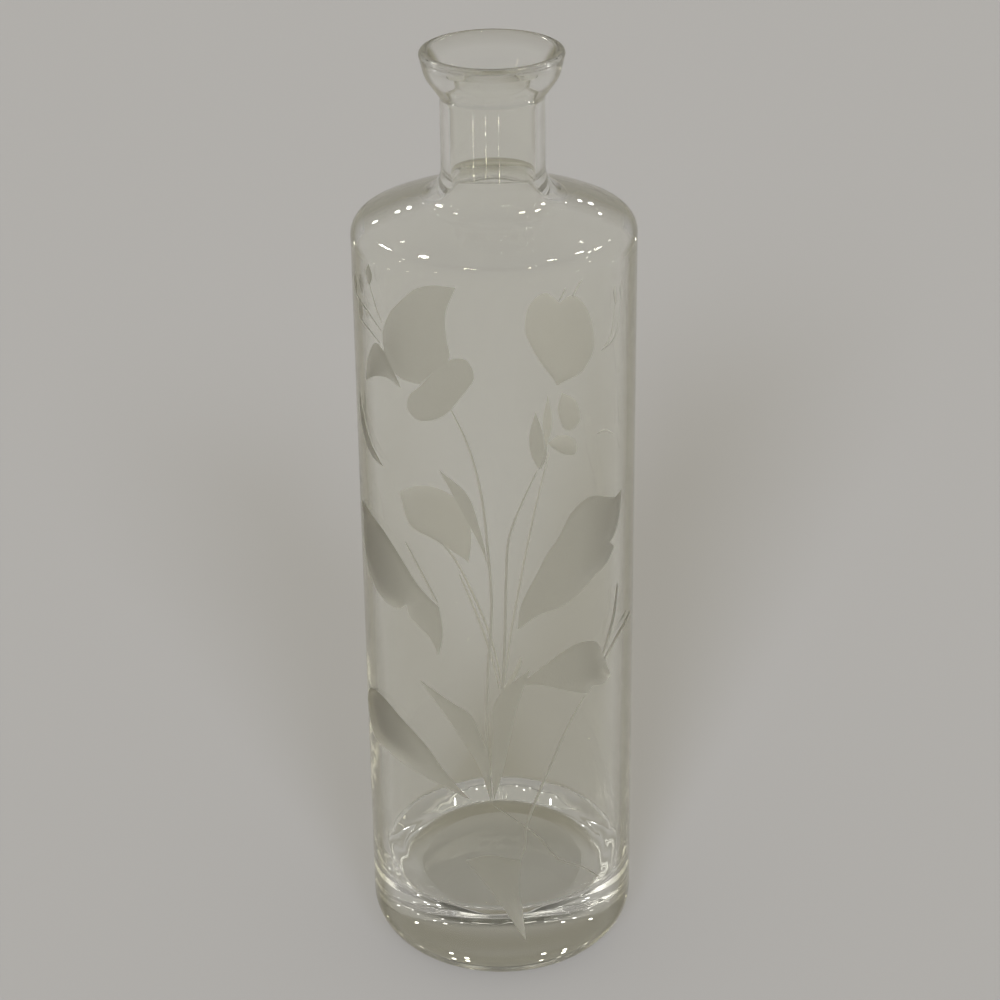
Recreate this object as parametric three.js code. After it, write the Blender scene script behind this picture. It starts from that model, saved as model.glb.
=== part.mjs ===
// Engraved glass decanter: a tall round bottle with a thick foot, a domed shoulder and a cup lip.
// Millimetres, +Z up, the axis of the bottle on Z and the table at z = 0.
// The glass is drawn as the five zones it is formed in: base, barrel, shoulder, neck and lip.
// Each zone is a ring turned from one closed profile and meets the next on a flat seam.
import * as THREE from 'three';

// Zone lengths, stacked from the table up
const BASE_HEIGHT = 36;
const BARREL_LENGTH = 178;
const SHOULDER_HEIGHT = 38;
const NECK_LENGTH = 13;
const LIP_HEIGHT = 17;

// Barrel and its wall, which thins towards the middle as blown glass does
const BARREL_R = 40;
const WALL_AT_FOOT = 3.5;
const WALL_AT_MIDDLE = 2.6;
const WALL_AT_TOP = 3.2;

// Foot: rounded heel, and a thick floor whose level disc rises by a slope to the wall
const HEEL_R = 13;
const FLOOR_THICKNESS = 21;
const FLOOR_R = 25;
const FLOOR_ROUND = 0.6;
const FLOOR_RISE = 7;
const FLOOR_EDGE_ROUND = 2;

// Shoulder: a tight edge, then a crown that flattens towards the neck
const EDGE_RISE = 19.2;
const EDGE_ROUND = 5;
const EDGE_SLOPE = 25;
const BREAK_R = 29;
const BREAK_ROUND = 40;
const CROWN_SLOPE = 15.5;
const CROWN_WALL = 4.6;
const INNER_EDGE_ROUND = 4;
const NECK_ROOT_ROUND = 6;
const BORE_ROOT_ROUND = 8;

// Neck
const NECK_R = 14.5;
const NECK_WALL = 2.8;

// Lip: an everted cup with a fire-polished rim and a funnel inside
const FLARE_RISE = 4.2;
const FLARE_ROUND = 3;
const KNEE_RISE = 10;
const KNEE_R = 18.6;
const KNEE_ROUND = 8;
const RIM_R = 20.2;
const RIM_WALL = 2.6;
const RIM_ROUND = 1.15;
const CUP_RISE = 13;
const CUP_R = 15.2;
const CUP_ROUND = 5;
const THROAT_RISE = 6;
const THROAT_ROUND = 6;

// Facets
const TURN_FACETS = 48;
const ARC_FACET_ANGLE = THREE.MathUtils.degToRad(11);
const BORE_CURVE_FACETS = 12;

// Heights of the seams
const baseTop = BASE_HEIGHT;
const barrelTop = baseTop + BARREL_LENGTH;
const shoulderTop = barrelTop + SHOULDER_HEIGHT;
const neckTop = shoulderTop + NECK_LENGTH;
const rimTop = neckTop + LIP_HEIGHT;

// Radii that two zones share at a seam
const boreR = NECK_R - NECK_WALL;
const footBoreR = BARREL_R - WALL_AT_FOOT;
const topBoreR = BARREL_R - WALL_AT_TOP;

const slope = (degrees) => Math.tan(THREE.MathUtils.degToRad(degrees));
const corner = (r, z, round = 0) => ({ at: new THREE.Vector2(r, z), round });

// Tangent arc that rounds one corner of a profile, as points from the first run to the second
function roundedCorner(before, { at, round }, after) {
  const back = before.clone().sub(at).normalize();
  const ahead = after.clone().sub(at).normalize();
  const halfAngle = Math.acos(THREE.MathUtils.clamp(back.dot(ahead), -1, 1)) / 2;
  const turn = Math.PI - 2 * halfAngle;
  if (round === 0 || turn < 1e-6) return [at.clone()];
  const tangent = round / Math.tan(halfAngle);
  const middle = back.clone().add(ahead).normalize();
  const centre = at.clone().addScaledVector(middle, round / Math.sin(halfAngle));
  const start = at.clone().addScaledVector(back, tangent).sub(centre);
  const side = Math.sign(back.cross(ahead));
  const steps = Math.max(2, Math.ceil(turn / ARC_FACET_ANGLE));
  return Array.from({ length: steps + 1 }, (_, step) =>
    start.clone().rotateAround(new THREE.Vector2(), (-side * turn * step) / steps).add(centre));
}

// Straight runs between corners, each corner rounded by its own radius
function profile(corners) {
  return corners.flatMap((here, i) => {
    const isEnd = i === 0 || i === corners.length - 1;
    return isEnd ? [here.at.clone()] : roundedCorner(corners[i - 1].at, here, corners[i + 1].at);
  });
}

// Solid turned about Z from a profile that runs up the outside and down the inside
function turned(name, points, material) {
  const geometry = new THREE.LatheGeometry(points, TURN_FACETS);
  geometry.rotateX(Math.PI / 2);
  const mesh = new THREE.Mesh(geometry, material);
  mesh.name = name;
  return mesh;
}

function ring(name, points, material) {
  return turned(name, [...points, points[0].clone()], material);
}

// Clear soda glass, straw-tinted where it is thick
function glass(color) {
  return new THREE.MeshStandardMaterial({
    color, roughness: 0.05, metalness: 0, transparent: true, opacity: 0.35,
  });
}

// Thick foot on a flat ground standing face, with a level floor inside
function base() {
  const points = profile([
    corner(0, 0),
    corner(BARREL_R, 0, HEEL_R),
    corner(BARREL_R, baseTop),
    corner(footBoreR, baseTop),
    corner(footBoreR, FLOOR_THICKNESS + FLOOR_RISE, FLOOR_EDGE_ROUND),
    corner(FLOOR_R, FLOOR_THICKNESS, FLOOR_ROUND),
    corner(0, FLOOR_THICKNESS),
  ]);
  return turned('base', points, glass(0xc9c7b4));
}

// Straight outside, with the wall thinnest half way up
function barrel() {
  const middle = (baseTop + barrelTop) / 2;
  const bore = new THREE.SplineCurve([
    new THREE.Vector2(topBoreR, barrelTop),
    new THREE.Vector2(BARREL_R - WALL_AT_MIDDLE, middle),
    new THREE.Vector2(footBoreR, baseTop),
  ]).getPoints(BORE_CURVE_FACETS);
  const points = [
    new THREE.Vector2(BARREL_R, baseTop),
    new THREE.Vector2(BARREL_R, barrelTop),
    ...bore,
  ];
  return ring('barrel', points, glass(0xdcdbd2));
}

// Tight outer edge and domed crown, over a hollow of the same slopes
function shoulder() {
  const edgeZ = barrelTop + EDGE_RISE;
  const breakZ = edgeZ + (BARREL_R - BREAK_R) * slope(EDGE_SLOPE);
  const neckRootZ = breakZ + (BREAK_R - NECK_R) * slope(CROWN_SLOPE);
  const hollowZ = breakZ - CROWN_WALL;
  const boreRootZ = hollowZ + (BREAK_R - boreR) * slope(CROWN_SLOPE);
  const innerEdgeZ = hollowZ - (topBoreR - BREAK_R) * slope(EDGE_SLOPE);
  const points = profile([
    corner(BARREL_R, barrelTop),
    corner(BARREL_R, edgeZ, EDGE_ROUND),
    corner(BREAK_R, breakZ, BREAK_ROUND),
    corner(NECK_R, neckRootZ, NECK_ROOT_ROUND),
    corner(NECK_R, shoulderTop),
    corner(boreR, shoulderTop),
    corner(boreR, boreRootZ, BORE_ROOT_ROUND),
    corner(BREAK_R, hollowZ, BREAK_ROUND),
    corner(topBoreR, innerEdgeZ, INNER_EDGE_ROUND),
    corner(topBoreR, barrelTop),
  ]);
  return ring('shoulder', points, glass(0xd2d1c3));
}

// Plain tube between the crown and the lip
function neck() {
  const points = profile([
    corner(NECK_R, shoulderTop),
    corner(NECK_R, neckTop),
    corner(boreR, neckTop),
    corner(boreR, shoulderTop),
  ]);
  return ring('neck', points, glass(0xdcdbd2));
}

// Cup that flares from the neck, turns up at its knee and ends in a rounded rim
function lip() {
  const points = profile([
    corner(NECK_R, neckTop),
    corner(NECK_R, neckTop + FLARE_RISE, FLARE_ROUND),
    corner(KNEE_R, neckTop + KNEE_RISE, KNEE_ROUND),
    corner(RIM_R, rimTop, RIM_ROUND),
    corner(RIM_R - RIM_WALL, rimTop, RIM_ROUND),
    corner(CUP_R, neckTop + CUP_RISE, CUP_ROUND),
    corner(boreR, neckTop + THROAT_RISE, THROAT_ROUND),
    corner(boreR, neckTop),
  ]);
  return ring('lip', points, glass(0xd2d1c3));
}

const decanter = new THREE.Group();
decanter.add(base(), barrel(), shoulder(), neck(), lip());

export default decanter;
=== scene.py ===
import math

import bpy
import numpy as np
from mathutils import Matrix, geometry


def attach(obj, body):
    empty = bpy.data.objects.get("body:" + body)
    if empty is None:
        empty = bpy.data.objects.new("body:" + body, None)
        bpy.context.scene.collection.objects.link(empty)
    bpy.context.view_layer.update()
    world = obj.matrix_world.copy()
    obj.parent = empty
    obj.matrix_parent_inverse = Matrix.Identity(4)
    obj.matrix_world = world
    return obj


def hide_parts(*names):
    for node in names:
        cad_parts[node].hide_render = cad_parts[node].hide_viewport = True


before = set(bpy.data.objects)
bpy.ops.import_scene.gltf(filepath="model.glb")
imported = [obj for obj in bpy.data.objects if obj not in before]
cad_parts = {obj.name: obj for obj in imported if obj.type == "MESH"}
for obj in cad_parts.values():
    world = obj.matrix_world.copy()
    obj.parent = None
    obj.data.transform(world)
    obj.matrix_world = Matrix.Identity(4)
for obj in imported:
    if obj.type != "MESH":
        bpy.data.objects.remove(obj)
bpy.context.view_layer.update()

# Turned body
# One piece of clear soda glass with a thick foot, a straight barrel, a domed shoulder and a cup lip.
# It is blown and turned about its own axis, and the rim is melted round in the flame.
MM = 0.001

# Corners of its profile in mm: R is a radius, Z a height over the table, ROUND the corner's own radius
BARREL_R = 40.0
FOOT_CENTRE = (0.0, 0.0, 0.0)
HEEL_ROUND = 13.0
FLOOR_R, FLOOR_Z, FLOOR_ROUND = 25.0, 21.0, 0.6
FLOOR_EDGE_Z, FLOOR_EDGE_ROUND = 28.0, 2.0
FOOT_BORE_R, FOOT_BORE_Z, FOOT_BORE_ROUND = 36.5, 36.0, 900.0
MIDDLE_BORE_R, MIDDLE_BORE_Z, MIDDLE_BORE_ROUND = 37.4, 125.0, 6000.0
TOP_BORE_R, TOP_BORE_Z, TOP_BORE_ROUND = 36.8, 214.0, 1500.0
INNER_EDGE_Z, INNER_EDGE_ROUND = 230.09, 4.0
HOLLOW_Z, HOLLOW_ROUND = 233.73, 60.0
EDGE_Z, EDGE_ROUND = 233.2, 5.0
BREAK_R, BREAK_Z, BREAK_ROUND = 29.0, 238.33, 95.0
NECK_R, NECK_ROOT_Z, NECK_ROOT_ROUND = 14.5, 242.35, 9.0
BORE_R, BORE_ROOT_Z, BORE_ROOT_ROUND = 11.7, 238.53, 11.0
FLARE_Z, FLARE_ROUND = 269.2, 3.0
KNEE_R, KNEE_Z, KNEE_ROUND = 18.6, 275.0, 8.0
RIM_R, RIM_Z, RIM_ROUND, RIM_WALL = 20.2, 282.0, 1.15, 2.6
CUP_R, CUP_Z, CUP_ROUND = 15.2, 278.0, 5.0
THROAT_Z, THROAT_ROUND = 271.0, 6.0

# The plain barrel between these heights is laid as a flat strip, and outside meets bore at NECK_SEAM_Z
STRIP_BOTTOM, STRIP_TOP = 14.0, 229.0
NECK_SEAM_Z = 254.0

# Blowing leaves the bore uneven, more so near the floor, where the glass chills first
# Each wave has its depth in mm, its count round the bottle, its turn per mm of height and its start
SLOW_WAVES = [(0.05, 4, 0.08, 0.0), (0.04, 7, -0.05, 1.0), (0.05, 2, 0.11, 0.0)]
QUICK_WAVES = [(0.07, 17, 0.5, 0.0), (0.05, 29, -0.3, 0.0)]
CHILL_TOP, CHILL_FADE = 52.0, 20.0
UNEVEN_TOP, UNEVEN_FADE = 244.0, 10.0
AXIS_CALM_R = 10.0

# Fineness of the mesh: the turn and length of a piece of arc, the longest piece, and the columns round
ARC_STEP, ARC_RUN = math.radians(4), 2.0
LONGEST_RUN = 5.0
COLUMNS = 160


def rounded_profile(corners):
    """Straight runs between (radius, height, round) corners, with an arc tangent to both runs at each
    corner, then cut into lengths no longer than LONGEST_RUN. Returns rows of radius and height."""
    rows = [np.array([corners[0][:2]])]
    for before, here, after in zip(corners, corners[1:], corners[2:]):
        at = np.array(here[:2])
        back = np.array(before[:2]) - at
        ahead = np.array(after[:2]) - at
        back /= np.linalg.norm(back)
        ahead /= np.linalg.norm(ahead)
        half = math.acos(np.clip(back @ ahead, -1, 1)) / 2
        middle = (back + ahead) / np.linalg.norm(back + ahead)
        centre = at + middle * here[2] / math.sin(half)
        start = at + back * here[2] / math.tan(half) - centre
        turn = math.pi - 2 * half
        side = np.sign(back[0] * ahead[1] - back[1] * ahead[0])
        steps = max(3, math.ceil(turn / ARC_STEP), math.ceil(turn * here[2] / ARC_RUN))
        angle = -side * np.linspace(0, turn, steps + 1)
        arc_r = start[0] * np.cos(angle) - start[1] * np.sin(angle)
        arc_z = start[0] * np.sin(angle) + start[1] * np.cos(angle)
        rows.append(centre + np.stack([arc_r, arc_z], axis=1))
    rows.append(np.array([corners[-1][:2]]))
    line = np.vstack(rows)
    length = np.linalg.norm(np.diff(line, axis=0), axis=1)
    pieces = np.maximum(1, np.ceil(length / LONGEST_RUN)).astype(int)
    along = np.repeat(np.arange(len(pieces)), pieces)
    share = (np.arange(len(along)) - np.repeat(np.cumsum(pieces) - pieces, pieces)) / pieces[along]
    inner = line[along] + share[:, None] * (line[along + 1] - line[along])
    return np.vstack([inner, line[-1:]])


def turned_rings(profile, ripple):
    """Points of a surface of revolution: each row of the profile carried round the axis in COLUMNS steps,
    with ripple(angle, height) added to the radius, less of it within AXIS_CALM_R of the axis. Returns an
    array of rows by columns by x, y, z."""
    angle = np.linspace(0, 2 * math.pi, COLUMNS + 1)
    calm = np.minimum(1, profile[:, :1] / AXIS_CALM_R)
    radius = profile[:, :1] + ripple(angle[None, :], profile[:, 1:]) * calm
    height = np.broadcast_to(profile[:, 1:], radius.shape)
    return np.stack([radius * np.sin(angle), -radius * np.cos(angle), height], axis=2)


def ring_triangles(rows, columns):
    """Two triangles for each cell of a grid of that many rows and columns, turning the same way."""
    first = np.arange(rows - 1)[:, None] * columns + np.arange(columns - 1)[None, :]
    a, b, c, d = first, first + 1, first + columns + 1, first + columns
    return np.stack([np.stack([a, b, c], axis=2), np.stack([a, c, d], axis=2)], axis=2).reshape(-1, 3)


def sum_of_waves(waves, angle, height):
    """Sum of the waves in mm: depth times the sine of count by angle, plus turn by height, plus start."""
    return sum(deep * np.sin(count * angle + turn * height + start) for deep, count, turn, start in waves)


def blown_ripple(angle, height):
    """Unevenness of the bore in mm: the slow waves, with the quick ones added below CHILL_TOP, all of it
    fading to nothing at UNEVEN_TOP, below the seam where the bore meets the outside."""
    chilled = np.clip((CHILL_TOP - height) / CHILL_FADE, 0, 1)
    below_neck = np.clip((UNEVEN_TOP - height) / UNEVEN_FADE, 0, 1)
    slow = sum_of_waves(SLOW_WAVES, angle, height)
    return (slow + chilled * sum_of_waves(QUICK_WAVES, angle, height)) * below_neck


def no_ripple(angle, height):
    """The even outside: nought at every angle and height."""
    return np.zeros(np.broadcast(angle, height).shape)


foot_profile = rounded_profile([
    FOOT_CENTRE,
    (BARREL_R, 0.0, HEEL_ROUND),
    (BARREL_R, STRIP_BOTTOM, 0.0),
])
crown_profile = rounded_profile([
    (BARREL_R, STRIP_TOP, 0.0),
    (BARREL_R, EDGE_Z, EDGE_ROUND),
    (BREAK_R, BREAK_Z, BREAK_ROUND),
    (NECK_R, NECK_ROOT_Z, NECK_ROOT_ROUND),
    (NECK_R, FLARE_Z, FLARE_ROUND),
    (KNEE_R, KNEE_Z, KNEE_ROUND),
    (RIM_R, RIM_Z, RIM_ROUND),
    (RIM_R - RIM_WALL, RIM_Z, RIM_ROUND),
    (CUP_R, CUP_Z, CUP_ROUND),
    (BORE_R, THROAT_Z, THROAT_ROUND),
    (BORE_R, NECK_SEAM_Z, 0.0),
])
bore_profile = rounded_profile([
    (BORE_R, NECK_SEAM_Z, 0.0),
    (BORE_R, BORE_ROOT_Z, BORE_ROOT_ROUND),
    (BREAK_R, HOLLOW_Z, HOLLOW_ROUND),
    (TOP_BORE_R, INNER_EDGE_Z, INNER_EDGE_ROUND),
    (TOP_BORE_R, TOP_BORE_Z, TOP_BORE_ROUND),
    (MIDDLE_BORE_R, MIDDLE_BORE_Z, MIDDLE_BORE_ROUND),
    (FOOT_BORE_R, FOOT_BORE_Z, FOOT_BORE_ROUND),
    (FOOT_BORE_R, FLOOR_EDGE_Z, FLOOR_EDGE_ROUND),
    (FLOOR_R, FLOOR_Z, FLOOR_ROUND),
    (0.0, FLOOR_Z, 0.0),
])

# Wheel-cut sprays
# Two sprays of flowers and leaves ground into the barrel, one in front and one behind.
# Each petal, leaf and stem is one shallow cut of a small stone wheel, left matt and not polished.
# Sizes in mm: depth of a cut and width of its bevel, half width of each kind of stroke, half sizes of a bud
LEAF_DEPTH, LEAF_BEVEL = 0.35, 2.4
STROKE_DEPTH = 0.22
STEM, HAIR, SLASH = 0.42, 0.26, 0.8
BUD_LONG, BUD_WIDE = 3.1, 1.8

# Power of the sine that draws the ends of a stroke to points
STROKE_TAPER = 0.3

# The barrel's skin is laid flat, slit at a quarter turn, and the second spray sits half a turn round
GIRTH = 2 * math.pi * BARREL_R
SLIT_S = GIRTH / 4
BACK_SHIFT = -GIRTH / 2

# Fineness of the flat mesh in mm: along outlines, between rows, from an outline to its inner ring, and
# from either to the grid, which is looked at within CUT_MARGIN of a cut. INSET_KEPT is a share of INSET
EDGE_STEP = 1.1
ROW_PITCH = 1.6
INSET, INSET_KEPT = 0.9, 0.8
CLEAR_OF_EDGE, CUT_MARGIN = 0.5, 2.0

# Points nearer than this many mm are joined, and no squared length is divided by less than the second
JOIN_GAP, LEAST_SQUARE = 1e-4, 1e-9

# Places are mm of arc to the right of the spray's middle and mm of height, and TIP marks a sharp corner
TIP = True
FRONT_FLOWER = dict(
    standard=[(-21.7, 198.6, TIP), (-18.4, 202.2), (-12.6, 208.3), (-13.3, 213), (-13.6, 220.4),
              (-10.6, 228.5, TIP), (-17.5, 228.3), (-22.5, 226.3), (-27, 222.3), (-32.9, 215.5),
              (-35.2, 209), (-33, 202), (-29.5, 199.2)],
    left_wing=[(-45, 192.7, TIP), (-42.7, 201.2), (-37.6, 206.3), (-35.3, 205.2), (-30.4, 199.3),
               (-28.2, 195.8, TIP), (-32.5, 197.2), (-38.2, 196.4)],
    wing_and_keel=[(-22.5, 197.3, TIP), (-14.6, 205.8), (-11.7, 207.8), (-8.3, 207.9), (-6.3, 205.1),
                   (-6, 202.2), (-7.6, 199.5, TIP), (-10.4, 195.6), (-14.2, 191), (-18, 188.7),
                   (-22.8, 187.8), (-26.1, 190), (-25.2, 194.8)],
)
FRONT_LEAVES = dict(
    edge=[(-36.6, 169, TIP), (-43.9, 174.7), (-49.1, 181.8), (-51.5, 187, TIP), (-51.8, 180.5),
          (-48.3, 173.8), (-42.8, 170)],
    bud_leaf=[(10.8, 191.9, TIP), (13.1, 184), (13.3, 179), (11.7, 174.4, TIP), (9.6, 179), (9, 184.6)],
    stem_leaf=[(-16.5, 174, TIP), (-8.9, 168.1), (-4.9, 156.8), (-2.6, 144.3, TIP), (-4.6, 150.6),
               (-8.4, 158.9), (-12.5, 166.9)],
    left=[(-17.8, 114.6, TIP), (-20.5, 119.6), (-24.7, 122.9, TIP), (-27.6, 124.6), (-28.7, 128.1, TIP),
          (-32, 125.6), (-35.8, 125.4, TIP), (-42, 126.6), (-47.7, 130.6, TIP), (-51.6, 134.5),
          (-53.2, 141, TIP), (-52.4, 145.5), (-55, 151, TIP), (-49, 151.4), (-43.3, 150.5, TIP),
          (-38.5, 148.9), (-33.7, 145.7), (-28.8, 141), (-24.4, 136), (-17.5, 130.6, TIP), (-16.4, 123)],
    right=[(5.3, 124.9, TIP), (6, 131.3), (11.2, 142.6), (13.4, 146.9), (18, 153), (21.2, 158.5),
           (26.3, 161.7), (39.4, 157.6, TIP), (43.1, 158.4, TIP), (42.4, 152.3), (39.6, 146.4),
           (37, 144.3, TIP), (39, 141.8, TIP), (34.6, 138), (30.3, 136.5, TIP), (27.9, 135), (23.8, 132.3),
           (18, 130), (11.8, 128.9)],
    low_right=[(5.1, 106.9, TIP), (12.5, 111.6), (18.8, 115.1), (23.8, 116.4), (29.5, 115.2), (36.3, 103.5),
               (37.9, 100.3, TIP), (35.1, 99), (29.6, 100.2, TIP), (27.6, 98.4, TIP), (21.3, 101.5),
               (15.6, 104.3), (11, 106.1)],
    low_left=[(-9.1, 67.7, TIP), (-16.7, 75.8), (-22.4, 82.7), (-30.7, 88.2), (-43.3, 92.1), (-53.2, 88.5),
              (-58.5, 81.5, TIP), (-51.3, 75.1), (-38.4, 74.3), (-29.2, 73.3), (-16.8, 70.5)],
    blade_left=[(-2.9, 67.4, TIP), (-3.6, 82.8), (-5.8, 90.3), (-9.4, 97.5), (-13.1, 99.4), (-17.7, 101.8),
                (-24.4, 104.9, TIP), (-16.3, 95.4), (-11.1, 88), (-6, 78.4)],
    blade_right=[(-2.1, 68.2, TIP), (-1, 71.7), (2.8, 88.7), (5.1, 100.2), (8.8, 111.4, TIP), (3.5, 107.5),
                 (-1.4, 101.3), (-2.2, 88.8), (-2.7, 78.5)],
    stalk_end=[(-10.6, 46.3, TIP), (-6.1, 40.3), (-2.1, 34.3), (0.5, 29.7), (3.9, 23.3), (7, 17.8, TIP),
               (6.5, 23.5), (5.9, 29.3), (5.2, 34), (5.6, 46.7, TIP), (-4.3, 48.6)],
)
FRONT_BUDS = [(-41, 225.6), (-51.3, 219.3), (-47.5, 213)]
FRONT_STROKES = [
    dict(half=STEM, path=[(-13.1, 194.1), (-8, 182.7), (-4.7, 169.2), (-2.9, 151.4), (-2, 134.8),
                          (-3.4, 109.6), (-4, 88.7), (-2.5, 67.4)]),
    dict(half=STEM, path=[(11.3, 174.5), (6.3, 163.5), (3.4, 155.2), (2.2, 141), (1.7, 123.5), (0.2, 95),
                          (-2, 68)]),
    dict(half=STEM, path=[(5.6, 46.7), (7.1, 52.1), (7.2, 57.1), (10.1, 66.4), (14.3, 76.7),
                          (22.1, 92.4), (26.7, 98.4)]),
    dict(half=HAIR, path=[(-2.5, 66.5), (4.2, 61), (11.1, 54), (17.4, 44.8), (25.5, 39.1),
                          (33.7, 31.2)]),
    dict(half=HAIR, path=[(-40.8, 222.8), (-38.4, 218), (-34.8, 212.5)]),
    dict(half=HAIR, path=[(-51, 216.4), (-43, 214.4), (-35, 210.5)]),
    dict(half=HAIR, path=[(-47.2, 210.2), (-41.5, 208.9), (-35.8, 206.5)]),
    dict(half=STEM, path=[(12, 174.3), (13.4, 177.4), (13.9, 181.5)]),
    dict(half=SLASH, path=[(33.3, 107.2), (36.1, 112.8), (39.3, 119.6), (41.3, 129.4)]),
    dict(half=SLASH, path=[(31.6, 103.9), (40.9, 111.4), (52.4, 114.6)]),
    dict(half=STEM, path=[(-17.5, 131.4), (-23.3, 141.1), (-28.5, 148.7)]),
]
BACK_FLOWER = dict(
    standard=[(-20.1, 168.5, TIP), (-13.6, 175.8), (-9.6, 184), (-11.3, 192.5), (-16.5, 197),
              (-20.5, 194.2, TIP), (-26, 198), (-33, 194.5), (-36.5, 186.1), (-32, 177)],
    wing=[(-21.8, 166.4, TIP), (-28, 165), (-30.1, 159.7), (-23.6, 154.6), (-20.5, 160)],
    keel=[(-16.5, 148.5, TIP), (-22, 152.5), (-28.2, 151.7), (-28.6, 148.5), (-23.6, 146.2)],
)
BACK_LEAVES = dict(
    slim=[(-16.8, 164.8, TIP), (-18.4, 156), (-16.3, 146.4, TIP), (-15.1, 155.4)],
    broad=[(9.6, 106.8, TIP), (8.7, 114.6), (11.7, 126.3), (20.7, 134.2), (29.9, 137.9), (36.4, 138.6, TIP),
           (31.4, 125.6), (21.1, 117.1)],
)
BACK_BUDS = [(-60, 210.5), (-52.6, 206.5)]
BACK_STROKES = [
    dict(half=STEM, path=[(21.9, 120.8), (14.5, 109.4), (7.4, 92.3), (0.6, 69.2), (-1.3, 58)]),
    dict(half=STEM, path=[(12.9, 103.6), (9, 92.3), (2.2, 69.2), (-0.3, 59)]),
    dict(half=STEM, path=[(-17.5, 146), (-11.5, 122), (-6, 92), (-1.8, 60)]),
    dict(half=SLASH, path=[(-1.3, 58), (-5.8, 64.7), (-8.3, 71.4)]),
    dict(half=HAIR, path=[(-59.5, 207.4), (-50.6, 192.9), (-41.8, 185.6)]),
    dict(half=HAIR, path=[(-52.3, 203.4), (-47, 191.5), (-40.5, 184.5)]),
    dict(half=HAIR, path=[(-29.9, 205.1), (-27.4, 200.8), (-25.3, 196.1)]),
    dict(half=HAIR, path=[(-23.1, 200.4), (-21.9, 197.2), (-20.6, 194.6)]),
    dict(half=HAIR, path=[(-37.8, 157.4), (-42.9, 160.4), (-47.7, 161)]),
]


def smooth_line(places, closed):
    """Curve through the places: a cubic over each span, whose slope at a place weighs the two chords that
    meet there by the length of the other one. At a TIP, and at an open end, it follows the chord alone."""
    at = np.array([place[:2] for place in places], float)
    sharp = np.array([len(place) > 2 for place in places])
    if not closed:
        sharp[[0, -1]] = True
    chord = np.roll(at, -1, axis=0) - at
    length = np.linalg.norm(chord, axis=1)[:, None]
    ahead = chord / length
    behind, behind_length = np.roll(ahead, 1, axis=0), np.roll(length, 1, axis=0)
    through = (behind * length + ahead * behind_length) / (length + behind_length)
    leave = np.where(sharp[:, None], ahead, through) * length
    arrive = np.where(np.roll(sharp, -1)[:, None], ahead, np.roll(through, -1, axis=0)) * length
    spans = len(at) if closed else len(at) - 1
    pieces = np.maximum(2, np.ceil(length[:spans, 0] / EDGE_STEP)).astype(int)
    span = np.repeat(np.arange(spans), pieces)
    u = (np.arange(len(span)) - np.repeat(np.cumsum(pieces) - pieces, pieces)) / pieces[span]
    u = u[:, None]
    line = (at[span] + chord[span] * (3 - 2 * u) * u ** 2
            + leave[span] * u * (1 - u) ** 2 - arrive[span] * u ** 2 * (1 - u))
    return line if closed else np.vstack([line, at[-1:]])


def along(line, closed):
    """Unit direction of a line at each of its points, from the points before and after it."""
    step = np.roll(line, -1, axis=0) - np.roll(line, 1, axis=0) if closed else np.gradient(line, axis=0)
    return step / np.linalg.norm(step, axis=1, keepdims=True)


def inside(points, loop):
    """True for the points that lie within a closed loop, by counting the loop's crossings of a line."""
    x, y = points[:, :1], points[:, 1:]
    x0, y0 = loop[:, 0], loop[:, 1]
    x1, y1 = np.roll(x0, -1), np.roll(y0, -1)
    spans = (y0 > y) != (y1 > y)
    rise = np.where(y1 == y0, 1.0, y1 - y0)
    crossing = x < x0 + (y - y0) * (x1 - x0) / rise
    return np.count_nonzero(spans & crossing, axis=1) % 2 == 1


def nearest(points, loop):
    """Distance from each point to the nearest side of a closed loop."""
    chord = np.roll(loop, -1, axis=0) - loop
    offset = points[:, None, :] - loop[None, :, :]
    share = (offset * chord).sum(axis=2) / np.maximum((chord ** 2).sum(axis=1), LEAST_SQUARE)
    apart = offset - share.clip(0, 1)[:, :, None] * chord
    return np.linalg.norm(apart, axis=2).min(axis=1)


def leaf_cut(places, shift):
    """A broad cut: its outline, a ring of points INSET within it, its depth and its bevel's width. Points
    of the ring that come nearer to the outline than INSET_KEPT of that are dropped."""
    outline = smooth_line([(place[0] + shift, *place[1:]) for place in places], True)
    after = np.roll(outline, -1, axis=0)
    area = (outline[:, 0] * after[:, 1] - after[:, 0] * outline[:, 1]).sum()
    way = along(outline, True)
    inward = np.stack([-way[:, 1], way[:, 0]], axis=1) * np.sign(area)
    ring = outline + INSET * inward
    ring = ring[inside(ring, outline) & (nearest(ring, outline) > INSET_KEPT * INSET)]
    return dict(outline=outline, within=ring, deep=LEAF_DEPTH, bevel=LEAF_BEVEL)


def stroke_cut(path, half, shift):
    """A slim cut: a band of that half width on the curve through the path, drawn to a point at its ends."""
    spine = smooth_line([(s + shift, z) for s, z in path], False)
    u = np.linspace(0, 1, len(spine))[1:-1, None]
    way = along(spine, False)[1:-1]
    side = np.stack([-way[:, 1], way[:, 0]], axis=1) * half * np.sin(math.pi * u) ** STROKE_TAPER
    outline = np.vstack([spine[:1], spine[1:-1] - side, spine[-1:], (spine[1:-1] + side)[::-1]])
    return dict(outline=outline, within=spine[1:-1], deep=STROKE_DEPTH, bevel=half)


def bud_places(s, z):
    """Corners of a small oval bud about its middle, drawn to a point above."""
    return [(s, z - BUD_LONG), (s + BUD_WIDE, z), (s, z + BUD_LONG, TIP), (s - BUD_WIDE, z)]


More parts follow.
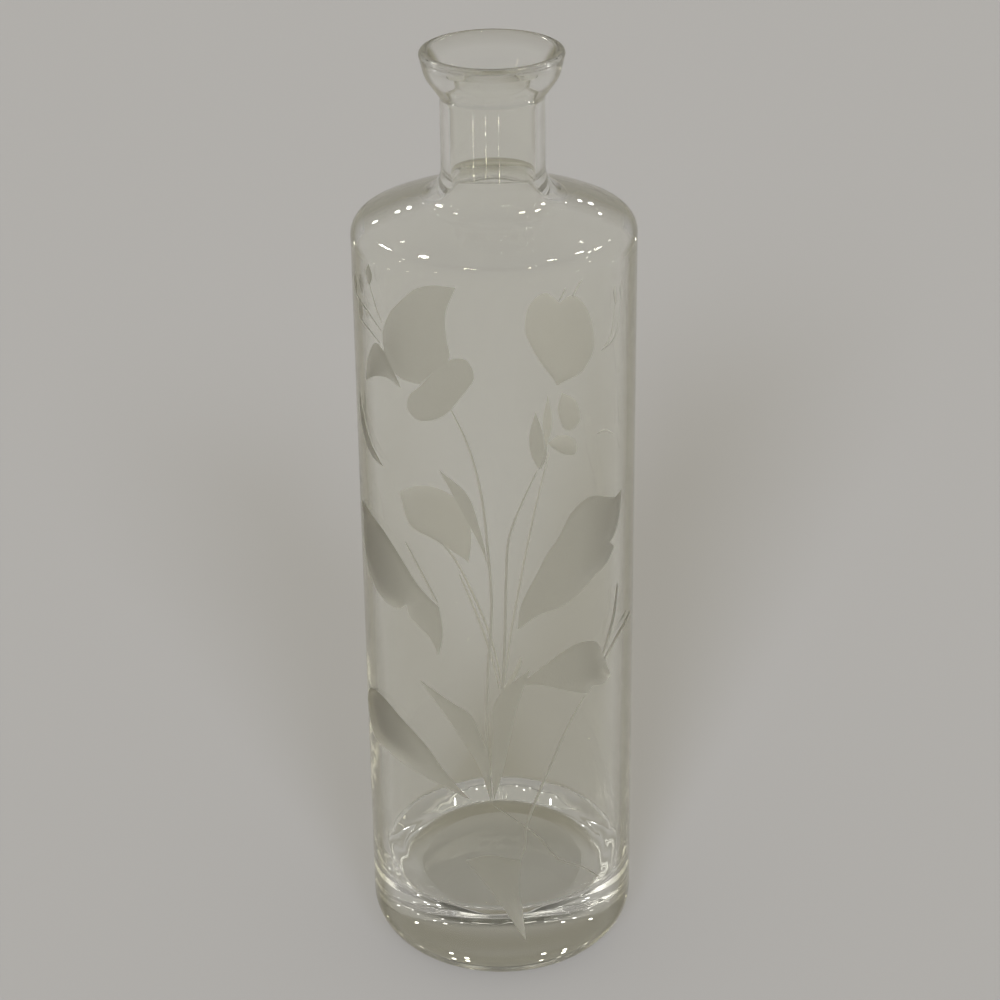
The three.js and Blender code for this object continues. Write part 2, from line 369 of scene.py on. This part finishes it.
cuts = []
for flower, leaves, buds, strokes, shift in (
        (FRONT_FLOWER, FRONT_LEAVES, FRONT_BUDS, FRONT_STROKES, 0.0),
        (BACK_FLOWER, BACK_LEAVES, BACK_BUDS, BACK_STROKES, BACK_SHIFT)):
    shapes = [*flower.values(), *leaves.values(), *(bud_places(*bud) for bud in buds)]
    cuts += [leaf_cut(shape, shift) for shape in shapes]
    cuts += [stroke_cut(stroke["path"], stroke["half"], shift) for stroke in strokes]

# Flat mesh of the strip: a grid kept clear of the cuts' outlines, tied to those outlines by triangles
strip_s = SLIT_S - GIRTH + GIRTH * np.arange(COLUMNS + 1) / COLUMNS
strip_rows = int((STRIP_TOP - STRIP_BOTTOM) / ROW_PITCH)
strip_z = np.linspace(STRIP_BOTTOM, STRIP_TOP, strip_rows + 1)
grid = np.stack(np.meshgrid(strip_s, strip_z), axis=2)
rim_of_grid = np.zeros(grid.shape[:2], bool)
rim_of_grid[[0, -1], :] = True
rim_of_grid[:, [0, -1]] = True
grid = grid.reshape(-1, 2)
keep = np.ones(len(grid), bool)
for cut in cuts:
    low = cut["outline"].min(axis=0) - CUT_MARGIN
    high = cut["outline"].max(axis=0) + CUT_MARGIN
    near = np.flatnonzero(((grid > low) & (grid < high)).all(axis=1))
    keep[near] &= nearest(grid[near], cut["outline"]) > CLEAR_OF_EDGE
    spread = np.linalg.norm(grid[near][:, None, :] - cut["within"][None, :, :], axis=2).min(axis=1)
    keep[near] &= spread > CLEAR_OF_EDGE
keep |= rim_of_grid.ravel()
points = [grid[keep]]
edges = []
count = len(points[0])
for cut in cuts:
    ring = count + np.arange(len(cut["outline"]))
    edges.append(np.stack([ring, np.roll(ring, -1)], axis=1))
    points += [cut["outline"], cut["within"]]
    count += len(cut["outline"]) + len(cut["within"])
laid = geometry.delaunay_2d_cdt(np.vstack(points).tolist(), np.vstack(edges).tolist(), [], 0, JOIN_GAP)
flat = np.array(laid[0])
strip_faces = np.array(laid[2])

# Depth of each cut: nought at its outline, rounding down to its full depth across the bevel
middle = flat[strip_faces].mean(axis=1)
strip_cut = np.zeros(len(strip_faces), bool)
depth = np.zeros(len(flat))
for cut in cuts:
    low = cut["outline"].min(axis=0)
    high = cut["outline"].max(axis=0)
    near = np.flatnonzero(((middle >= low) & (middle <= high)).all(axis=1))
    strip_cut[near] |= inside(middle[near], cut["outline"])
    near = np.flatnonzero(((flat >= low) & (flat <= high)).all(axis=1))
    near = near[inside(flat[near], cut["outline"])]
    rise = 1 - (nearest(flat[near], cut["outline"]) / cut["bevel"]).clip(0, 1)
    depth[near] = np.maximum(depth[near], cut["deep"] * (1 - rise ** 2))

# Glass skin
# The turned rings and the cut strip of the barrel are one skin, since the real bottle has no seams.
# Rings and strip are welded on the points they share, and the cut facets take the ground finish.
WELD_DIGITS = 3
ON_SKIN = 1e-4
STRIP_SLACK = 0.01
radius = BARREL_R - depth
strip_points = np.stack([radius * np.sin(flat[:, 0] / BARREL_R), -radius * np.cos(flat[:, 0] / BARREL_R),
                         flat[:, 1]], axis=1)
corner = flat[strip_faces]
area = np.cross(corner[:, 1] - corner[:, 0], corner[:, 2] - corner[:, 0])
strip_faces = np.where((area < 0)[:, None], strip_faces[:, ::-1], strip_faces)
foot_rings = turned_rings(foot_profile, no_ripple)
crown_rings = turned_rings(crown_profile, no_ripple)
bore_rings = turned_rings(bore_profile, blown_ripple)
skins = [(strip_points, strip_faces, strip_cut)]
for rings in (foot_rings, crown_rings, bore_rings):
    faces = ring_triangles(*rings.shape[:2])
    skins.append((rings.reshape(-1, 3), faces, np.zeros(len(faces), bool)))
starts = np.cumsum([0] + [len(skin[0]) for skin in skins[:-1]])
all_points = np.vstack([skin[0] for skin in skins])
all_faces = np.vstack([skin[1] + start for skin, start in zip(skins, starts)])
is_cut = np.concatenate([skin[2] for skin in skins])
_, first, joined = np.unique(np.round(all_points, WELD_DIGITS), axis=0, return_index=True,
                             return_inverse=True)
glass_points = all_points[first]
glass_faces = joined.reshape(-1)[all_faces]
whole = ((glass_faces[:, 0] != glass_faces[:, 1]) & (glass_faces[:, 1] != glass_faces[:, 2])
         & (glass_faces[:, 2] != glass_faces[:, 0]))
glass_faces, is_cut = glass_faces[whole], is_cut[whole]

# A cut's outline is a crisp edge, and plain barrel facets take the true cylinder's normals
skin = bpy.data.meshes.new("decanter_glass")
skin.from_pydata((glass_points * MM).tolist(), [], glass_faces.tolist())
skin.polygons.foreach_set("use_smooth", np.ones(len(glass_faces), bool))
skin.polygons.foreach_set("material_index", is_cut.astype(np.int32))
skin.update()
edge_of_corner = np.empty(len(skin.loops), np.int32)
skin.loops.foreach_get("edge_index", edge_of_corner)
corner_cut = np.repeat(is_cut, 3)
cut_sides = np.bincount(edge_of_corner[corner_cut], minlength=len(skin.edges))
all_sides = np.bincount(edge_of_corner, minlength=len(skin.edges))
skin.attributes.new("sharp_edge", "BOOLEAN", "EDGE")
skin.attributes["sharp_edge"].data.foreach_set("value", (cut_sides > 0) & (cut_sides < all_sides))
corner_point = glass_points[glass_faces.reshape(-1)]
on_barrel = np.abs(np.hypot(corner_point[:, 0], corner_point[:, 1]) - BARREL_R) < ON_SKIN
on_barrel &= corner_point[:, 2] > STRIP_BOTTOM - STRIP_SLACK
on_barrel &= corner_point[:, 2] < STRIP_TOP + STRIP_SLACK
plain_face = on_barrel.reshape(-1, 3).all(axis=1) & ~is_cut
outward = corner_point * [1, 1, 0] / BARREL_R
outward[~np.repeat(plain_face, 3)] = 0
skin.normals_split_custom_set(outward.tolist())

# Straw tint, strong in the solid foot, where light runs far in the glass, weaker in the rim, and none on
# the standing face and up the bore. On the floor's disc it is faint and rises towards the disc's edge, and
# there it is partly the glass's straw and partly painted shade for the shaded floor under the bottle, seen
# through the disc
FOOT_TINT, FOOT_TINT_BOTTOM, FOOT_TINT_TOP, FOOT_TINT_FADE = 0.75, 4.0, 26.0, 8.0
DISC_STRAW_AND_SHADE, DISC_SHADE_POWER = 0.24, 3
RIM_TINT, RIM_TINT_FADE = 0.4, 2.5
BORE_SLACK, FACE_SLACK, DISC_SLACK = 0.5, 0.5, 0.05
height = glass_points[:, 2]
reach = np.hypot(glass_points[:, 0], glass_points[:, 1])
straw_and_disc_shade = np.clip((FOOT_TINT_TOP - height) / FOOT_TINT_FADE, 0, 1)
straw_and_disc_shade *= FOOT_TINT * np.clip(height / FOOT_TINT_BOTTOM - 1, 0, 1)
in_bore = (reach < FOOT_BORE_R + BORE_SLACK) & (height > FLOOR_Z / 2)
on_disc = in_bore & (height < FLOOR_Z + DISC_SLACK)
straw_and_disc_shade[in_bore | (height < FACE_SLACK)] = 0
# On the floor's disc the tint is partly painted shade: it darkens the floor seen through the disc, most at
# its edge
straw_and_disc_shade[on_disc] = DISC_STRAW_AND_SHADE * (reach[on_disc] / FLOOR_R) ** DISC_SHADE_POWER
straw_and_disc_shade = np.maximum(straw_and_disc_shade, RIM_TINT * np.clip((height - RIM_Z) / RIM_TINT_FADE + 1, 0, 1))
skin.attributes.new("straw_and_disc_shade", "FLOAT", "POINT").data.foreach_set("value", straw_and_disc_shade)

# Share of the olive that the outside takes where it turns edge-on: less on the thin neck, none in the bore
NECK_EDGE = 0.45
edge_share = np.where((height > NECK_ROOT_Z) & (height < FLARE_Z), NECK_EDGE, 1.0)
bore_points = np.zeros(len(all_points), bool)
bore_points[starts[-1]:] = True
edge_share[bore_points[first]] = 0
skin.attributes.new("edge_share", "FLOAT", "POINT").data.foreach_set("value", edge_share)

decanter_glass = bpy.data.objects.new("decanter_glass", skin)
bpy.context.scene.collection.objects.link(decanter_glass)


def linear(code):
    """A hex sRGB colour as linear red, green, blue and alpha."""
    srgb = np.array([int(code[i:i + 2], 16) for i in (1, 3, 5)]) / 255
    return (*np.where(srgb <= 0.04045, srgb / 12.92, ((srgb + 0.055) / 1.055) ** 2.4).tolist(), 1.0)


def add_node(tree, kind, links=None, **settings):
    """Adds a node, sets its inputs or properties by name, and links its inputs from other sockets."""
    node = tree.nodes.new(kind)
    for name, value in settings.items():
        if hasattr(node, name):
            setattr(node, name, value)
        else:
            node.inputs[name.replace("_", " ")].default_value = value
    for name, socket in (links or {}).items():
        tree.links.new(socket, node.inputs[name])
    return node


# Clear blown soda glass is smooth and bright: it shows what lies behind it, bent a little by slow waves
# Light that runs along the glass comes out straw, and olive at the edges, as it does in thick soda glass
# The straw tone is also laid on the floor's disc, where it is partly painted shade
CLEAR_TONE, STRAW_AND_DISC_SHADE_TONE = "#fbfbf7", "#a9a58a"
FACE_ON_TONE, TURNING_TONE, EDGE_ON_TONE = "#ffffff", "#a5a188", "#7d7962"
TURNING_FROM, TURNING_BY = 0.55, 0.7
GLASS_IOR = 1.52
INNER_GLANCE = "#c2bea6"
WAVE_LENGTH, WAVE_STRETCH, WAVE_HEIGHT = 22.0, 0.45, 2.0
clear_glass = bpy.data.materials.new("clear_blown_soda_glass")
clear_glass.use_nodes = True
tree = clear_glass.node_tree
tree.nodes.clear()
place = add_node(tree, "ShaderNodeTexCoord")
stretch = add_node(tree, "ShaderNodeMapping", {"Vector": place.outputs["Object"]},
                   Scale=(1, 1, WAVE_STRETCH))
waves = add_node(tree, "ShaderNodeTexNoise", {"Vector": stretch.outputs[0]}, Scale=1 / (WAVE_LENGTH * MM),
                 Detail=1.0)
swell = add_node(tree, "ShaderNodeBump", {"Height": waves.outputs[0]}, Strength=0.05,
                 Distance=WAVE_HEIGHT * MM)
tinted = add_node(tree, "ShaderNodeAttribute", attribute_name="straw_and_disc_shade")
tint = add_node(tree, "ShaderNodeValToRGB", {0: tinted.outputs["Fac"]})
tint.color_ramp.elements[0].color = linear(CLEAR_TONE)
tint.color_ramp.elements[1].color = linear(STRAW_AND_DISC_SHADE_TONE)
edge_on = add_node(tree, "ShaderNodeLayerWeight", Blend=0.5)
olive = add_node(tree, "ShaderNodeValToRGB", {0: edge_on.outputs["Facing"]})
olive.color_ramp.elements[0].position = TURNING_FROM
olive.color_ramp.elements[0].color = linear(FACE_ON_TONE)
olive.color_ramp.elements[1].color = linear(EDGE_ON_TONE)
olive.color_ramp.elements.new(TURNING_BY).color = linear(TURNING_TONE)
outer = add_node(tree, "ShaderNodeAttribute", attribute_name="edge_share")
tone = add_node(tree, "ShaderNodeMix", {0: outer.outputs["Fac"], 6: tint.outputs[0], 7: olive.outputs[0]},
                data_type="RGBA", blend_type="MULTIPLY")
body = add_node(tree, "ShaderNodeBsdfPrincipled",
                {"Normal": swell.outputs[0], "Base Color": tone.outputs[2]}, Roughness=0.0, IOR=GLASS_IOR,
                Transmission_Weight=1.0, Specular_Tint=linear(INNER_GLANCE))

# Its shadow is a pale one: upright walls dim the light a little, level ones let it through
UPRIGHT_SHADE, LEVEL_SHADE = "#f1f0eb", "#ffffff"
rays = add_node(tree, "ShaderNodeLightPath")
facing = add_node(tree, "ShaderNodeNewGeometry")
upright = add_node(tree, "ShaderNodeSeparateXYZ", {0: facing.outputs["Normal"]})
level = add_node(tree, "ShaderNodeMath", {0: upright.outputs[2]}, operation="ABSOLUTE")
dim = add_node(tree, "ShaderNodeValToRGB", {0: level.outputs[0]})
dim.color_ramp.elements[0].color = linear(UPRIGHT_SHADE)
dim.color_ramp.elements[1].color = linear(LEVEL_SHADE)
shade = add_node(tree, "ShaderNodeBsdfTransparent", {"Color": dim.outputs[0]})
blend = add_node(tree, "ShaderNodeMixShader",
                 {0: rays.outputs["Is Shadow Ray"], 1: body.outputs[0], 2: shade.outputs[0]})
add_node(tree, "ShaderNodeOutputMaterial", {"Surface": blend.outputs[0]})

# Wheel-ground glass is left unpolished: a fine matt veil that blurs what lies behind it to an even grey.
# That grey, darker than the clear glass, is partly the veil's own and partly painted shade. The spray
# behind, in the back half of the barrel, is given a paler grey than the one in front, and a cut seen
# edge-on turns darker and olive
# The real grit, about 0.1 mm, is too fine to show, so it is drawn coarser
# Greys of the matt cuts in front and behind, each partly their own grey and partly painted shade; the one
# behind is paler
FRONT_MATT_AND_SHADE, BACK_MATT_AND_SHADE = "#bfbdb0", "#dedcd2"
FRONT_TO, BACK_FROM = 0.4, 0.6
MATT_EDGE_TONE = "#98917a"
MATT_TURNING_FROM, MATT_TURNING_BY = 0.3, 0.85
MATT_SHADE = "#e8e6df"
GRIT, PIT_DEPTH = 0.6, 0.3
ground_glass = bpy.data.materials.new("wheel_ground_glass")
ground_glass.use_nodes = True
tree = ground_glass.node_tree
tree.nodes.clear()
place = add_node(tree, "ShaderNodeTexCoord")
grain = add_node(tree, "ShaderNodeTexNoise", {"Vector": place.outputs["Object"]}, Scale=1 / (GRIT * MM),
                 Detail=2.0)
pitted = add_node(tree, "ShaderNodeBump", {"Height": grain.outputs[0]}, Strength=0.2,
                  Distance=PIT_DEPTH * MM)
depth_of = add_node(tree, "ShaderNodeSeparateXYZ", {0: place.outputs["Object"]})
behind = add_node(tree, "ShaderNodeMapRange", {"Value": depth_of.outputs[1]}, From_Min=-BARREL_R * MM,
                  From_Max=BARREL_R * MM)
matt_and_shade_grey = add_node(tree, "ShaderNodeValToRGB", {0: behind.outputs[0]})
matt_and_shade_grey.color_ramp.elements[0].position = FRONT_TO
matt_and_shade_grey.color_ramp.elements[0].color = linear(FRONT_MATT_AND_SHADE)
matt_and_shade_grey.color_ramp.elements[1].position = BACK_FROM
matt_and_shade_grey.color_ramp.elements[1].color = linear(BACK_MATT_AND_SHADE)
edge_on = add_node(tree, "ShaderNodeLayerWeight", Blend=0.5)
olive = add_node(tree, "ShaderNodeValToRGB", {0: edge_on.outputs["Facing"]})
olive.color_ramp.elements[0].position = MATT_TURNING_FROM
olive.color_ramp.elements[0].color = linear(FACE_ON_TONE)
olive.color_ramp.elements[1].position = MATT_TURNING_BY
olive.color_ramp.elements[1].color = linear(MATT_EDGE_TONE)
tone = add_node(tree, "ShaderNodeMix", {6: matt_and_shade_grey.outputs[0], 7: olive.outputs[0]}, data_type="RGBA",
                blend_type="MULTIPLY", Factor=1.0)
body = add_node(tree, "ShaderNodeBsdfPrincipled",
                {"Normal": pitted.outputs[0], "Base Color": tone.outputs[2]}, Roughness=0.55, IOR=GLASS_IOR,
                Transmission_Weight=0.92)
rays = add_node(tree, "ShaderNodeLightPath")
shade = add_node(tree, "ShaderNodeBsdfTransparent", Color=linear(MATT_SHADE))
blend = add_node(tree, "ShaderNodeMixShader",
                 {0: rays.outputs["Is Shadow Ray"], 1: body.outputs[0], 2: shade.outputs[0]})
add_node(tree, "ShaderNodeOutputMaterial", {"Surface": blend.outputs[0]})

skin.materials.append(clear_glass)
skin.materials.append(ground_glass)
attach(decanter_glass, "root")
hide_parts("base", "barrel", "shoulder", "neck", "lip")

# Studio floor
# A plain pale sheet of matt paint that runs far past the picture, a hair below the standing face.
# Matt paint gives an even grey that shows the bottle's soft shadow and no gloss.
# Half its side is in metres and its drop in mm.
STUDIO_HALF = 40.0
STUDIO_DROP = 0.3
STUDIO_GREY = "#adaba8"
floor_mesh = bpy.data.meshes.new("studio_floor")
floor_sides = np.array([(-1, -1), (1, -1), (1, 1), (-1, 1)]) * STUDIO_HALF
floor_corners = np.column_stack([floor_sides, np.full(len(floor_sides), -STUDIO_DROP * MM)])
floor_mesh.from_pydata(floor_corners.tolist(), [], [(0, 1, 2, 3)])
studio_floor = bpy.data.objects.new("studio_floor", floor_mesh)
bpy.context.scene.collection.objects.link(studio_floor)
floor_paint = bpy.data.materials.new("matt_floor_paint")
floor_paint.use_nodes = True
tree = floor_paint.node_tree
tree.nodes.clear()
body = add_node(tree, "ShaderNodeBsdfPrincipled", Base_Color=linear(STUDIO_GREY), Roughness=0.9,
                Specular_IOR_Level=0.0)
add_node(tree, "ShaderNodeOutputMaterial", {"Surface": body.outputs[0]})
floor_mesh.materials.append(floor_paint)

# Light
# Two broad, soft suns give the plain level, and the air all round is pale and darkens overhead.
# Small disc lamps give the glass its points of light. Only the glass shows them. Lengths are in metres.
MID_HEIGHT = 0.15
WASH_REACH, WASH_SPREAD = 2.0, math.radians(14)
LAMP_REACH, LAMP_GLARE = 1.3, 45.0

# Bearing from the front and height in degrees, and the lamp's radius
FOOT_LAMPS = [(-166, 25, 0.018), (-158, 22, 0.018), (162, 24, 0.018), (168, 21, 0.018),
              (-118, 24, 0.035), (-98, 30, 0.035), (97, 29, 0.035), (120, 26, 0.035),
              (-150, 44, 0.02), (-140, 34, 0.02), (-128, 52, 0.02), (-108, 46, 0.02),
              (-84, 40, 0.02), (-70, 56, 0.02), (-55, 36, 0.02), (-40, 50, 0.02),
              (150, 46, 0.02), (142, 33, 0.02), (127, 50, 0.02), (106, 44, 0.02),
              (82, 42, 0.02), (70, 54, 0.02), (54, 38, 0.02), (38, 52, 0.02)]
CROWN_LAMPS = [(-138, 42, 0.06), (-134, 45, 0.05), (-139, 60, 0.04), (124, 68, 0.06), (136, 55, 0.05),
               (125, 46, 0.06), (-38, 66, 0.03), (-24, 62, 0.03), (26, 64, 0.03), (40, 60, 0.03)]

# Low lamps in front, which the upright neck mirrors: bearing in degrees and distance over the floor
NECK_LAMPS = [(-43, 0.72), (-43, 0.76), (-43, 0.80), (-15, 0.70), (-15, 0.74), (-15, 0.79), (-15, 0.84),
              (13, 0.71), (13, 0.75), (13, 0.80)]
NECK_LAMP_R, NECK_LAMP_Z = 0.006, 0.006
NECK_HEIGHT = 0.26


def lamp(name, kind, energy, place, aim, **settings):
    """A lamp of that kind and energy at a place, turned so that it shines at the aim."""
    data = bpy.data.lights.new(name, kind)
    data.energy = energy
    for key, value in settings.items():
        setattr(data, key, value)
    item = bpy.data.objects.new(name, data)
    bpy.context.scene.collection.objects.link(item)
    away = np.array(place, float) - np.array(aim, float)
    turn = Matrix.Rotation(math.atan2(away[0], -away[1]), 4, "Z")
    tilt = Matrix.Rotation(math.atan2(math.hypot(away[0], away[1]), away[2]), 4, "X")
    item.matrix_world = Matrix.Translation(place) @ turn @ tilt
    return item


def catch_lamp(name, place, aim, lamp_r, mirrored):
    """A disc lamp of LAMP_GLARE brightness that the glass alone shows, mirrored by its skin or, where
    that isn't asked for, seen through it."""
    catch = lamp(name, "AREA", LAMP_GLARE * (math.pi * lamp_r) ** 2, place, aim, shape="DISK",
                 size=2 * lamp_r)
    catch.visible_camera = False
    catch.visible_diffuse = False
    catch.visible_glossy = mirrored
    catch.visible_transmission = not mirrored


def bearing(azimuth, height, reach):
    """The point at that reach from the middle of the bottle, by bearing from the front and height."""
    a, h = math.radians(azimuth), math.radians(height)
    return (reach * math.cos(h) * math.sin(a), -reach * math.cos(h) * math.cos(a),
            MID_HEIGHT + reach * math.sin(h))


mid_bottle = (0, 0, MID_HEIGHT)
for name, energy, azimuth, height in [("key_wash", 3.1, -14, 27), ("fill_wash", 1.7, 18, 33)]:
    wash = lamp(name, "SUN", energy, bearing(azimuth, height, WASH_REACH), mid_bottle, angle=WASH_SPREAD)
    wash.visible_glossy = False
    wash.visible_transmission = False
lamps = [(*place, False) for place in FOOT_LAMPS] + [(*place, True) for place in CROWN_LAMPS]
for number, (azimuth, height, lamp_r, mirrored) in enumerate(lamps):
    catch_lamp(f"catch_lamp_{number}", bearing(azimuth, height, LAMP_REACH), mid_bottle, lamp_r, mirrored)
for number, (azimuth, reach) in enumerate(NECK_LAMPS):
    a = math.radians(azimuth)
    low = (reach * math.sin(a), -reach * math.cos(a), NECK_LAMP_Z)
    catch_lamp(f"neck_lamp_{number}", low, (0, 0, NECK_HEIGHT), NECK_LAMP_R, True)

# Darker air overhead gives the rounded edges of the glass their fine dark lines
AIR_TONE, OVERHEAD_TONE = "#acaaa7", "#5a5954"
AIR_TO, OVERHEAD_FROM = 0.7, 0.92
world = bpy.data.worlds.new("studio_air")
bpy.context.scene.world = world
world.use_nodes = True
tree = world.node_tree
tree.nodes.clear()
place = add_node(tree, "ShaderNodeTexCoord")
split = add_node(tree, "ShaderNodeSeparateXYZ", {0: place.outputs["Generated"]})
ramp = add_node(tree, "ShaderNodeValToRGB", {0: split.outputs[2]})
ramp.color_ramp.elements[0].position = AIR_TO
ramp.color_ramp.elements[0].color = linear(AIR_TONE)
ramp.color_ramp.elements[1].position = OVERHEAD_FROM
ramp.color_ramp.elements[1].color = linear(OVERHEAD_TONE)
air = add_node(tree, "ShaderNodeBackground", {"Color": ramp.outputs[0]}, Strength=1.0)
add_node(tree, "ShaderNodeOutputWorld", {"Surface": air.outputs[0]})

# Camera
# It stands where the photograph was taken from: above the shoulder, looking down, with a slight lean.
# Its place and far end are in metres, its sensor and lens in mm, its shift a share of the picture's width.
CAMERA_PLACE = (0.0, -0.692, 0.492)
CAMERA_PITCH = math.radians(26.56)
CAMERA_LEAN = math.radians(-0.71)
SENSOR_WIDTH, LENS, SHIFT_X = 36.0, 95.26, 0.0027
FAR_END = 200.0
camera_data = bpy.data.cameras.new("photo_camera")
camera_data.sensor_width = SENSOR_WIDTH
camera_data.lens = LENS
camera_data.shift_x = SHIFT_X
camera_data.clip_end = FAR_END
photo_camera = bpy.data.objects.new("photo_camera", camera_data)
bpy.context.scene.collection.objects.link(photo_camera)
photo_camera.matrix_world = (Matrix.Translation(CAMERA_PLACE)
                             @ Matrix.Rotation(math.pi / 2 - CAMERA_PITCH, 4, "X")
                             @ Matrix.Rotation(CAMERA_LEAN, 4, "Z"))
scene = bpy.context.scene
scene.camera = photo_camera
scene.view_settings.view_transform = "Standard"

# Light crosses many skins of glass, so it is followed far
GLASS_BOUNCES, SHADOW_CROSSINGS = 64, 32
scene.cycles.max_bounces = GLASS_BOUNCES
scene.cycles.glossy_bounces = GLASS_BOUNCES
scene.cycles.transmission_bounces = GLASS_BOUNCES
scene.cycles.transparent_max_bounces = SHADOW_CROSSINGS
scene.cycles.caustics_reflective = False
scene.cycles.caustics_refractive = False
